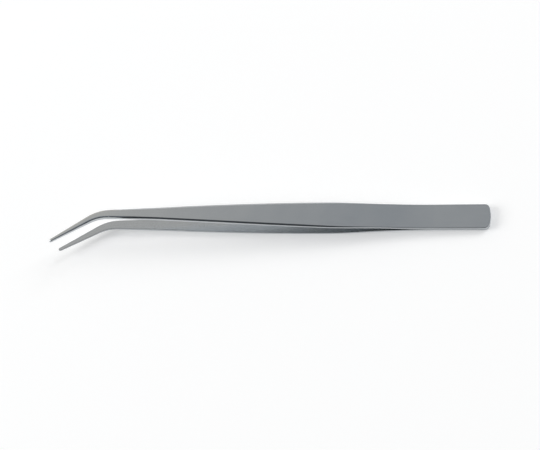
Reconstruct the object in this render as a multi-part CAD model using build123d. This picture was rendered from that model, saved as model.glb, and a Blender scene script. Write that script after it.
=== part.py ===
from build123d import *
from math import acos, atan2, cos, degrees, pi, radians, sin, sqrt
import os

# Bent tip tweezers in stainless steel, as they come to rest on a bench.
# Two sprung arms are welded face to face at the back end. They bow apart in front of the weld,
# and both points are turned aside by the same bend. All sizes are in millimetres.
# The word along means the distance from the back end, measured on an arm's middle line.

# Handle: the flat back part of each arm
handle_width = 11.0
handle_thickness = 1.45
weld_length = 24.0
end_crown = 0.9
end_corner_radius = 2.2
edge_break = 0.15
seam_break = 0.1

# Spring and bow of each arm, seen from its edge
spring_radius = 180.0
splay_angle = 4.85
bow_radius = 1460.0

# Outline of each arm, seen on its face, from the back end to the point
handle_length = 45.0
crest_length = 23.0
crest_width = 11.8
taper_length = 82.0
taper_swell = 1.35
knee_width = 5.4
neck_length = 23.0
bend_width = 4.1
bend_radius = 20.0
bend_angle = 29.5
point_length = 20.9
point_width = 1.4

# Thickness of each arm, which is forged heavier towards the bend and ground thin at the point
bend_thickness = 2.2
point_thickness = 1.15

# Bevels ground along both outer edges, which close to a rounded back over the bent point
bevel_run = 40.0
bevel_width = 0.72
bevel_depth = 0.5
bend_bevel_width = 0.95
bend_bevel_depth = 1.15
point_bevel_width = 0.5
point_bevel_depth = 0.75

# Blunt end of each point: the length that it rounds over, and the share of its section left at the very end
nose_length = 0.8
nose_flat = 0.35

# Distances between the sections that each arm is lofted through, and between the places that find how it lies
arm_pitch = 5.0
bend_pitch = 2.6
point_pitch = 1.5
nose_sections = 5
rest_pitch = 1.0

crest_along = handle_length + crest_length
knee_along = crest_along + taper_length
bend_start = knee_along + neck_length
bend_end = bend_start + bend_radius * radians(bend_angle)
arm_end = bend_end + point_length


def share(along, start, end):
    """How far along lies between start and end, from 0 to 1."""
    return min(max((along - start) / (end - start), 0.0), 1.0)


def ease(amount):
    """A share from 0 to 1 that starts and stops gently."""
    return (1 - cos(pi * amount)) / 2


def mix(first, second, amount):
    return first + (second - first) * amount


def middle_line(along):
    """Place of the arm's middle line on its face, and how far the bend has turned it there."""
    turn = share(along, bend_start, bend_end) * radians(bend_angle)
    past_bend = max(along - bend_end, 0.0)
    forward = min(along, bend_start) + bend_radius * sin(turn) + past_bend * cos(turn)
    aside = bend_radius * (1 - cos(turn)) + past_bend * sin(turn)
    return -forward, -aside, turn


def half_gap(along):
    """Height of the arm's inner face over the weld's plane: a spring arc, then a long inward bow."""
    splay = radians(splay_angle)
    spring_run = spring_radius * sin(splay)
    on_spring = min(max(along - weld_length, 0.0), spring_run)
    on_bow = max(along - weld_length - spring_run, 0.0)
    rise = spring_radius - sqrt(spring_radius**2 - on_spring**2)
    slope = sin(splay) - on_bow / bow_radius
    return rise + bow_radius * (sqrt(1 - slope**2) - cos(splay))


def width(along):
    """Full width: straight handle, low crest, swelling taper to the knee, neck, then a fine point."""
    if along < crest_along:
        return mix(handle_width, crest_width, ease(share(along, handle_length, crest_along)))
    if along < knee_along:
        return mix(crest_width, knee_width, share(along, crest_along, knee_along) ** taper_swell)
    if along < bend_start:
        return mix(knee_width, bend_width, share(along, knee_along, bend_start))
    return mix(bend_width, point_width, share(along, bend_start, arm_end))


def thickness(along):
    if along < bend_start:
        return mix(handle_thickness, bend_thickness, ease(share(along, handle_length, bend_start)))
    return mix(bend_thickness, point_thickness, share(along, bend_start, arm_end))


def bevel(along):
    """Width and depth of the outer bevels, and how far they are rounded over, from 0 to 1."""
    start = ease(share(along, handle_length, handle_length + bevel_run))
    over_bend = ease(share(along, knee_along, bend_end))
    to_point = share(along, bend_end, arm_end)
    across = mix(mix(edge_break, bevel_width, start), bend_bevel_width, over_bend)
    down = mix(mix(edge_break, bevel_depth, start), bend_bevel_depth, over_bend)
    return mix(across, point_bevel_width, to_point), mix(down, point_bevel_depth, to_point), over_bend


def section(along, scale=1.0):
    """One cross-section, upright across the middle line, with its flat inner face below."""
    x, y, turn = middle_line(along)
    across, down, rounding = bevel(along)
    half = width(along) / 2 * scale
    inner = half_gap(along)
    outer = inner + thickness(along) * scale
    across, down = across * scale, down * scale
    foot, top = outer - down, half - across
    corner = Vector(half, outer)
    straight = Vector((half + top) / 2, (outer + foot) / 2)
    control = straight + (corner - straight) * rounding
    break_height = inner + seam_break * scale
    break_side = half - seam_break * scale
    outline = Curve() + [
        Line((-break_side, inner), (break_side, inner)),
        Line((break_side, inner), (half, break_height)),
        Line((half, break_height), (half, foot)),
        Bezier((half, foot), (control.X, control.Y), (top, outer)),
        Line((top, outer), (-top, outer)),
        Bezier((-top, outer), (-control.X, control.Y), (-half, foot)),
        Line((-half, foot), (-half, break_height)),
        Line((-half, break_height), (-break_side, inner)),
    ]
    plane = Plane(origin=(x, y, 0), x_dir=(-sin(turn), cos(turn), 0), z_dir=(cos(turn), sin(turn), 0))
    return plane * make_face(outline)


def stations(start, end, pitch):
    """Evenly spaced places from start to end, both included, about pitch apart."""
    count = max(round((end - start) / pitch), 1)
    return [mix(start, end, step / count) for step in range(count + 1)]


def handle_plate():
    """Flat plate behind the weld's front edge, with a crowned end and rounded corners."""
    half = handle_width / 2
    corner_x = -end_crown
    outline = Curve() + [
        Line((-weld_length, -half), (corner_x, -half)),
        ThreePointArc((corner_x, -half), (0, 0), (corner_x, half)),
        Line((corner_x, half), (-weld_length, half)),
        Line((-weld_length, half), (-weld_length, -half)),
    ]
    blank = make_face(outline)
    blank = fillet(blank.vertices().sort_by(Axis.X)[-2:], end_corner_radius)
    plate = extrude(blank, handle_thickness)
    front = plate.faces().sort_by(Axis.X)[0]
    inner_face = plate.faces().sort_by(Axis.Z)[0]
    outer_face = plate.faces().sort_by(Axis.Z)[-1]
    seam_edges = [edge for edge in inner_face.edges() if edge not in front.edges()]
    outer_edges = [edge for edge in outer_face.edges() if edge not in front.edges()]
    plate = chamfer(seam_edges, seam_break)
    outer_edges = [edge for edge in plate.edges() if edge in outer_edges]
    return chamfer(outer_edges, edge_break)


def nose_places():
    """Sections that round the point's end in towards its inner face: places along, with their scale."""
    nose_start = arm_end - nose_length
    quarter = acos(nose_flat)
    angles = [quarter * step / nose_sections for step in range(1, nose_sections + 1)]
    return [(nose_start + nose_length * sin(angle) / sin(quarter), cos(angle)) for angle in angles]


def sprung_arm():
    """Arm from the weld's front edge to the end of its point, lofted in one piece."""
    places = stations(weld_length, bend_start, arm_pitch)
    places += stations(bend_start, bend_end, bend_pitch)[1:]
    places += stations(bend_end, arm_end - nose_length, point_pitch)[1:]
    sections = [section(along) for along in places]
    sections += [section(along, scale) for along, scale in nose_places()]
    return loft(sections)


def rest_tilt():
    """Angle in degrees that brings the back end's lower edge and the lower arm's bow onto one plane."""
    places = stations(handle_length, arm_end, rest_pitch)
    drops = [half_gap(along) + thickness(along) - handle_thickness for along in places]
    return degrees(max(atan2(drop, along - edge_break) for drop, along in zip(drops, places)))


upper_arm = handle_plate() + sprung_arm()
lower_arm = mirror(upper_arm, about=Plane.XY)

# Lay the tweezers on the lower arm, then put the origin under the middle of their box
lying = Rot(0, rest_tilt(), 0)
pair = Compound([lying * upper_arm, lying * lower_arm])
box = pair.bounding_box()
seat = Pos(-(box.min.X + box.max.X) / 2, -(box.min.Y + box.max.Y) / 2, -box.min.Z)

os.makedirs("parts", exist_ok=True)
for name, arm in {"upper_arm": upper_arm, "lower_arm": lower_arm}.items():
    export_step(seat * lying * arm, f"parts/{name}.step")
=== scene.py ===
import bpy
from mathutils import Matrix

bl_info = {
    "name": "Bent Tip Tweezers",
    "version": (1, 0, 0),
    "blender": (4, 5, 0),
    "location": "3D Viewport > Sidebar > Tweezers",
    "description": "Finishes both arms of bent tip tweezers in ground stainless steel and sets their stage",
    "category": "Object",
}

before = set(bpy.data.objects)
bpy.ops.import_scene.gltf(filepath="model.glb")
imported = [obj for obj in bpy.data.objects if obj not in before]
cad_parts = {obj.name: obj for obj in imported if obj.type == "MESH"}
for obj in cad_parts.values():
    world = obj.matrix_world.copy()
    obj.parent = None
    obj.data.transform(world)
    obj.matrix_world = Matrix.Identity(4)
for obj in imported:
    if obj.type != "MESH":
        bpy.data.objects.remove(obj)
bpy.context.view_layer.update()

from math import cos, radians, sin

import bpy
from bpy.props import FloatProperty, FloatVectorProperty, PointerProperty
from mathutils import Quaternion, Vector

MILLIMETRE = 0.001
ARM_NAMES = ("upper_arm", "lower_arm")

# The room's darker side ends here, as the cosine of the angle from its bright direction
ROOM_DARK_FROM = 0.25

# The dark curtain in front, in parts of a unit direction: where it starts to fade and where it has ended
CURTAIN_FRONT = (-0.65, -0.38)
CURTAIN_TOP = (0.70, 0.88)

# How upright a surface's normal is where the edge finish and the edges' painted shade end and where the
# face finish begins
EDGE_UPRIGHT, FACE_UPRIGHT = 0.80, 0.97

# The grain's noise lies mostly between these values, and changes tone and roughness by these amounts
GRAIN_LOW, GRAIN_HIGH = 0.25, 0.75
TONE_SPREAD, ROUGHNESS_SPREAD = 0.025, 0.03

# The white card's dull surface
CARD_ROUGHNESS, CARD_GLOSS = 0.9, 0.2

# Sockets of a Mix node in its colour mode, whose names other modes use too
MIX_FACTOR, MIX_FIRST, MIX_SECOND, MIX_RESULT = 0, 6, 7, 2


def linear(hex_colour):
    """Linear red, green and blue of an sRGB hex colour such as #A0A4A8."""
    parts = [int(hex_colour[start:start + 2], 16) / 255 for start in (1, 3, 5)]
    return [part / 12.92 if part <= 0.04045 else ((part + 0.055) / 1.055) ** 2.4 for part in parts]


def add_node(tree, kind, links=None, values=None, **settings):
    """Adds a node with its settings and socket values, and links the outputs in links to its sockets."""
    node = tree.nodes.new(kind)
    for name, setting in settings.items():
        setattr(node, name, setting)
    for socket, value in (values or {}).items():
        node.inputs[socket].default_value = value
    for socket, output in (links or {}).items():
        tree.links.new(output, node.inputs[socket])
    return node


def new_material(name):
    """An empty node material, and the node tree that it is made in."""
    material = bpy.data.materials.new(name)
    material.use_nodes = True
    material.node_tree.nodes.clear()
    return material, material.node_tree


class SteelSettings(bpy.types.PropertyGroup):
    """Finish of the arms: faces polished to satin along their length, and ground edges, whose colour is
    painted a little darker as painted shade.
    """

    face_colour: FloatVectorProperty(
        name="Face colour", description="Steel of the flat faces, which are polished to satin",
        subtype="COLOR", min=0, max=1, default=linear("#C6CACD"))
    # Painted shade: the bevels and sides get a steel colour a little darker than the faces
    edge_painted_shade_colour: FloatVectorProperty(
        name="Edge colour", description="Steel of the bevels and sides, which are ground after the faces",
        subtype="COLOR", min=0, max=1, default=linear("#BEC2C5"))
    face_roughness: FloatProperty(
        name="Face roughness", description="Softness of the reflections in the flat faces",
        subtype="FACTOR", min=0, max=1, default=0.24)
    edge_roughness: FloatProperty(
        name="Edge roughness", description="Softness of the reflections in the bevels and sides",
        subtype="FACTOR", min=0, max=1, default=0.22)
    grain_width: FloatProperty(
        name="Grain width", description="Width of a streak of the polishing grain",
        unit="LENGTH", min=0, default=0.35 * MILLIMETRE)
    grain_length: FloatProperty(
        name="Grain length", description="Length of a streak of the polishing grain",
        unit="LENGTH", min=0, default=25 * MILLIMETRE)
    grain_depth: FloatProperty(
        name="Grain depth", description="Depth of the polishing grain",
        unit="LENGTH", min=0, default=0.001 * MILLIMETRE)
    wave_length: FloatProperty(
        name="Wave length", description="Distance between the gentle waves that grinding by hand leaves",
        unit="LENGTH", min=0, default=16 * MILLIMETRE)
    wave_depth: FloatProperty(
        name="Wave depth", description="Depth of those gentle waves",
        unit="LENGTH", min=0, default=0.2 * MILLIMETRE)


class StageSettings(bpy.types.PropertyGroup):
    """Floor, light and camera round the tweezers."""

    floor_colour: FloatVectorProperty(
        name="Floor colour", description="Matt white card that the tweezers lie on",
        subtype="COLOR", min=0, max=1, default=linear("#EDEDED"))
    floor_size: FloatProperty(
        name="Floor size", description="Side of the square floor",
        unit="LENGTH", min=0, default=8.0)
    floor_lift: FloatProperty(
        name="Floor lift", description="Glow that brings the lit floor up to white, seen or reflected",
        min=0, default=0.3)
    room_direction: FloatVectorProperty(
        name="Room direction", description="Direction in which the room is brightest",
        subtype="DIRECTION", default=(-0.8, 0.55, 0.25))
    room_dark: FloatProperty(
        name="Dark side", description="Strength of the room's darker side, behind the handle",
        min=0, default=0.3)
    room_bright: FloatProperty(
        name="Bright side", description="Strength of the room's brightest side",
        min=0, default=0.84)
    room_dark_colour: FloatVectorProperty(
        name="Dark side colour", description="Cool white of the room's darker side",
        subtype="COLOR", min=0, max=1, default=linear("#EEF6FF"))
    room_bright_colour: FloatVectorProperty(
        name="Bright side colour", description="Warm white of the room's brightest side",
        subtype="COLOR", min=0, max=1, default=linear("#FFF6E8"))
    curtain_light: FloatProperty(
        name="Curtain light", description="Share of the room's light that the dark curtain gives back",
        subtype="FACTOR", min=0, max=1, default=0.18)
    rear_place: FloatVectorProperty(
        name="Rear softbox place", description="Middle of the softbox behind the handle",
        subtype="TRANSLATION", unit="LENGTH", default=(1.8, 1.5, 1.86))
    rear_size: FloatVectorProperty(
        name="Rear softbox size", description="Width and height of the softbox behind the handle",
        size=2, unit="LENGTH", min=0, default=(1.6, 1.6))
    rear_power: FloatProperty(
        name="Rear softbox power", description="Power of the softbox behind the handle",
        unit="POWER", min=0, default=36)
    side_place: FloatVectorProperty(
        name="Side softbox place", description="Middle of the softbox beyond the points",
        subtype="TRANSLATION", unit="LENGTH", default=(-2.55, -0.3, 1.5))
    side_size: FloatVectorProperty(
        name="Side softbox size", description="Width and height of the softbox beyond the points",
        size=2, unit="LENGTH", min=0, default=(1.6, 1.6))
    side_power: FloatProperty(
        name="Side softbox power", description="Power of the softbox beyond the points",
        unit="POWER", min=0, default=44)
    camera_aim: FloatVectorProperty(
        name="Camera aim", description="Point in the middle of the picture",
        subtype="TRANSLATION", unit="LENGTH",
        default=(3.97 * MILLIMETRE, -0.54 * MILLIMETRE, 9 * MILLIMETRE))
    camera_distance: FloatProperty(
        name="Camera distance", description="Distance from the camera to its aim",
        unit="LENGTH", min=0, default=545.1 * MILLIMETRE)
    camera_azimuth: FloatProperty(
        name="Camera azimuth", description="Angle round the tweezers, from the front towards the handle",
        subtype="ANGLE", default=radians(40.0))
    camera_elevation: FloatProperty(
        name="Camera elevation", description="Angle of the camera above the floor",
        subtype="ANGLE", default=radians(62.2))
    camera_roll: FloatProperty(
        name="Camera roll", description="Turn of the camera about its axis, which lays the tweezers level",
        subtype="ANGLE", default=radians(-38.0))
    camera_lens: FloatProperty(
        name="Camera lens", description="Focal length in millimetres",
        unit="CAMERA", min=1, default=81.55)


def satin_steel(settings):
    """Stainless steel, belt ground along the arms and satin polished.

    To the eye the faces are soft grey mirrors with a faint lengthwise grain, and the edges are painted a
    little darker as painted shade. The real grain is a few hundredths of a millimetre wide, too fine to
    show, so it is drawn as wide as grain_width says.
    """
    material, tree = new_material("satin_stainless_steel")
    place = add_node(tree, "ShaderNodeTexCoord")
    normal = add_node(tree, "ShaderNodeSeparateXYZ", {"Vector": place.outputs["Normal"]})
    upright = add_node(tree, "ShaderNodeMath", {0: normal.outputs["Z"]}, operation="ABSOLUTE")
    face = add_node(
        tree, "ShaderNodeMapRange", {"Value": upright.outputs[0]},
        {"From Min": EDGE_UPRIGHT, "From Max": FACE_UPRIGHT}, interpolation_type="SMOOTHSTEP")

    streak_scale = (1 / settings.grain_length, 1 / settings.grain_width, 1 / settings.grain_width)
    along = add_node(
        tree, "ShaderNodeMapping", {"Vector": place.outputs["Object"]}, {"Scale": streak_scale})
    grain = add_node(
        tree, "ShaderNodeTexNoise", {"Vector": along.outputs[0]},
        {"Scale": 1.0, "Detail": 3.0, "Roughness": 0.6})
    waves = add_node(
        tree, "ShaderNodeTexNoise", {"Vector": place.outputs["Object"]},
        {"Scale": 1 / settings.wave_length, "Detail": 1.0})

    # The bevels and sides take the darker edge colour, which is painted shade, and the faces take the face
    # colour
    steel = add_node(
        tree, "ShaderNodeMix", {MIX_FACTOR: face.outputs[0]},
        {MIX_FIRST: (*settings.edge_painted_shade_colour, 1), MIX_SECOND: (*settings.face_colour, 1)}, data_type="RGBA")
    tone = add_node(
        tree, "ShaderNodeMapRange", {"Value": grain.outputs["Fac"]},
        {"From Min": GRAIN_LOW, "From Max": GRAIN_HIGH,
         "To Min": 1 - TONE_SPREAD, "To Max": 1 + TONE_SPREAD})
    toned = add_node(
        tree, "ShaderNodeMix", {MIX_FIRST: steel.outputs[MIX_RESULT], MIX_SECOND: tone.outputs[0]},
        {MIX_FACTOR: 1.0}, data_type="RGBA", blend_type="MULTIPLY")

    finish = add_node(
        tree, "ShaderNodeMapRange", {"Value": face.outputs[0]},
        {"To Min": settings.edge_roughness, "To Max": settings.face_roughness})
    patches = add_node(
        tree, "ShaderNodeMapRange", {"Value": grain.outputs["Fac"]},
        {"From Min": GRAIN_LOW, "From Max": GRAIN_HIGH,
         "To Min": -ROUGHNESS_SPREAD, "To Max": ROUGHNESS_SPREAD})
    roughness = add_node(
        tree, "ShaderNodeMath", {0: finish.outputs[0], 1: patches.outputs[0]}, operation="ADD")

    ground = add_node(
        tree, "ShaderNodeBump", {"Height": waves.outputs["Fac"]}, {"Distance": settings.wave_depth})
    polished = add_node(
        tree, "ShaderNodeBump", {"Height": grain.outputs["Fac"], "Normal": ground.outputs[0]},
        {"Distance": settings.grain_depth})
    shader = add_node(
        tree, "ShaderNodeBsdfPrincipled",
        {"Base Color": toned.outputs[MIX_RESULT], "Roughness": roughness.outputs[0],
         "Normal": polished.outputs[0]},
        {"Metallic": 1.0})
    add_node(tree, "ShaderNodeOutputMaterial", {"Surface": shader.outputs[0]})
    return material


def white_card(settings):
    """Matt white card: a dull white that takes soft shadows, and looks evenly white where it is lit.

    The lift is for sight and for reflections alone, so it sends no light to the tweezers' shadow side.
    """
    material, tree = new_material("matt_white_card")
    card = add_node(
        tree, "ShaderNodeBsdfPrincipled",
        values={"Base Color": (*settings.floor_colour, 1), "Roughness": CARD_ROUGHNESS,
                "Specular IOR Level": CARD_GLOSS})
    path = add_node(tree, "ShaderNodeLightPath")
    seen = add_node(
        tree, "ShaderNodeMath",
        {0: path.outputs["Is Camera Ray"], 1: path.outputs["Is Glossy Ray"]}, operation="ADD")
    shown = add_node(
        tree, "ShaderNodeMath",
        {0: seen.outputs[0], 1: path.outputs["Is Transmission Ray"]}, operation="ADD", use_clamp=True)
    strength = add_node(
        tree, "ShaderNodeMath", {0: shown.outputs[0]}, {1: settings.floor_lift}, operation="MULTIPLY")
    glow = add_node(tree, "ShaderNodeEmission", {"Strength": strength.outputs[0]})
    lit = add_node(tree, "ShaderNodeAddShader", {0: card.outputs[0], 1: glow.outputs[0]})
    add_node(tree, "ShaderNodeOutputMaterial", {"Surface": lit.outputs[0]})
    return material


def room_light(settings):
    """A pale room, brightest beyond the points, with a dark curtain in front of the tweezers.

    The polished bevels along the near edges mirror the curtain, which draws them as dark lines.
    """
    world = bpy.data.worlds.new("room")
    world.use_nodes = True
    tree = world.node_tree
    tree.nodes.clear()
    direction = add_node(tree, "ShaderNodeTexCoord")
    towards = add_node(
        tree, "ShaderNodeVectorMath", {0: direction.outputs["Generated"]},
        {1: Vector(settings.room_direction).normalized()}, operation="DOT_PRODUCT")
    share = add_node(
        tree, "ShaderNodeMapRange", {"Value": towards.outputs["Value"]}, {"From Min": ROOM_DARK_FROM})
    colour = add_node(
        tree, "ShaderNodeMix", {MIX_FACTOR: share.outputs[0]},
        {MIX_FIRST: (*settings.room_dark_colour, 1), MIX_SECOND: (*settings.room_bright_colour, 1)},
        data_type="RGBA")
    open_room = add_node(
        tree, "ShaderNodeMapRange", {"Value": share.outputs[0]},
        {"To Min": settings.room_dark, "To Max": settings.room_bright})
    parts = add_node(tree, "ShaderNodeSeparateXYZ", {"Vector": direction.outputs["Generated"]})
    curtain = [
        add_node(
            tree, "ShaderNodeMapRange", {"Value": parts.outputs[axis]},
            {"From Min": full, "From Max": ended, "To Min": 1.0, "To Max": 0.0},
            interpolation_type="SMOOTHSTEP")
        for axis, (full, ended) in (("Y", CURTAIN_FRONT), ("Z", CURTAIN_TOP))
    ]
    covered = add_node(
        tree, "ShaderNodeMath", {0: curtain[0].outputs[0], 1: curtain[1].outputs[0]}, operation="MULTIPLY")
    passed = add_node(
        tree, "ShaderNodeMapRange", {"Value": covered.outputs[0]},
        {"To Min": 1.0, "To Max": settings.curtain_light})
    strength = add_node(
        tree, "ShaderNodeMath", {0: open_room.outputs[0], 1: passed.outputs[0]}, operation="MULTIPLY")
    sky = add_node(
        tree, "ShaderNodeBackground",
        {"Color": colour.outputs[MIX_RESULT], "Strength": strength.outputs[0]})
    add_node(tree, "ShaderNodeOutputWorld", {"Surface": sky.outputs[0]})
    return world


def add_softbox(name, place, size, power):
    """A rectangular softbox at a place, turned to the tweezers."""
    bpy.ops.object.light_add(type="AREA", location=place)
    softbox = bpy.context.object
    softbox.name = name
    softbox.rotation_mode = "QUATERNION"
    softbox.rotation_quaternion = (-Vector(place)).to_track_quat("-Z", "Y")
    softbox.visible_camera = False
    softbox.data.shape = "RECTANGLE"
    softbox.data.size, softbox.data.size_y = size
    softbox.data.energy = power


def add_camera(settings):
    """The camera at the photograph's angle, rolled so that the tweezers lie level in the picture."""
    azimuth, elevation = settings.camera_azimuth, settings.camera_elevation
    back = Vector((sin(azimuth) * cos(elevation), -cos(azimuth) * cos(elevation), sin(elevation)))
    bpy.ops.object.camera_add(location=Vector(settings.camera_aim) + back * settings.camera_distance)
    camera = bpy.context.object
    camera.name = "camera"
    camera.rotation_mode = "QUATERNION"
    roll = Quaternion((0, 0, 1), settings.camera_roll)
    camera.rotation_quaternion = (-back).to_track_quat("-Z", "Y") @ roll
    camera.data.lens = settings.camera_lens
    bpy.context.scene.camera = camera


class TWEEZERS_OT_finish_arms(bpy.types.Operator):
    """Give both arms their ground and satin polished stainless steel"""

    bl_idname = "tweezers.finish_arms"
    bl_label = "Finish Arms"

    def execute(self, context):
        material = satin_steel(context.scene.tweezers_steel)
        for name in ARM_NAMES:
            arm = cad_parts[name]
            arm.material_slots[0].material = material
        return {"FINISHED"}


class TWEEZERS_OT_set_stage(bpy.types.Operator):
    """Lay the floor, light the tweezers and place the camera"""

    bl_idname = "tweezers.set_stage"
    bl_label = "Set Stage"

    def execute(self, context):
        settings = context.scene.tweezers_stage
        bpy.ops.object.select_all(action="DESELECT")
        bpy.ops.mesh.primitive_plane_add(size=settings.floor_size)
        floor = context.object
        floor.name = "floor"
        floor.data.materials.append(white_card(settings))
        context.scene.world = room_light(settings)
        add_softbox("rear_softbox", settings.rear_place, settings.rear_size, settings.rear_power)
        add_softbox("side_softbox", settings.side_place, settings.side_size, settings.side_power)
        add_camera(settings)
        context.scene.view_settings.view_transform = "Standard"
        return {"FINISHED"}


class TWEEZERS_PT_sidebar(bpy.types.Panel):
    """Lists the steps, and the sizes and colours that they use"""

    bl_idname = "TWEEZERS_PT_sidebar"
    bl_label = "Bent Tip Tweezers"
    bl_space_type = "VIEW_3D"
    bl_region_type = "UI"
    bl_category = "Tweezers"

    def draw(self, context):
        steps = (
            (TWEEZERS_OT_finish_arms, context.scene.tweezers_steel),
            (TWEEZERS_OT_set_stage, context.scene.tweezers_stage),
        )
        for step, settings in steps:
            box = self.layout.box()
            for name in settings.__annotations__:
                box.prop(settings, name)
            box.operator(step.bl_idname)


CLASSES = (
    SteelSettings,
    StageSettings,
    TWEEZERS_OT_finish_arms,
    TWEEZERS_OT_set_stage,
    TWEEZERS_PT_sidebar,
)


def register():
    for each in CLASSES:
        bpy.utils.register_class(each)
    bpy.types.Scene.tweezers_steel = PointerProperty(type=SteelSettings)
    bpy.types.Scene.tweezers_stage = PointerProperty(type=StageSettings)


def unregister():
    del bpy.types.Scene.tweezers_stage
    del bpy.types.Scene.tweezers_steel
    for each in reversed(CLASSES):
        bpy.utils.unregister_class(each)


def main():
    register()
    bpy.ops.tweezers.finish_arms()
    bpy.ops.tweezers.set_stage()


if __name__ == "__main__":
    main()
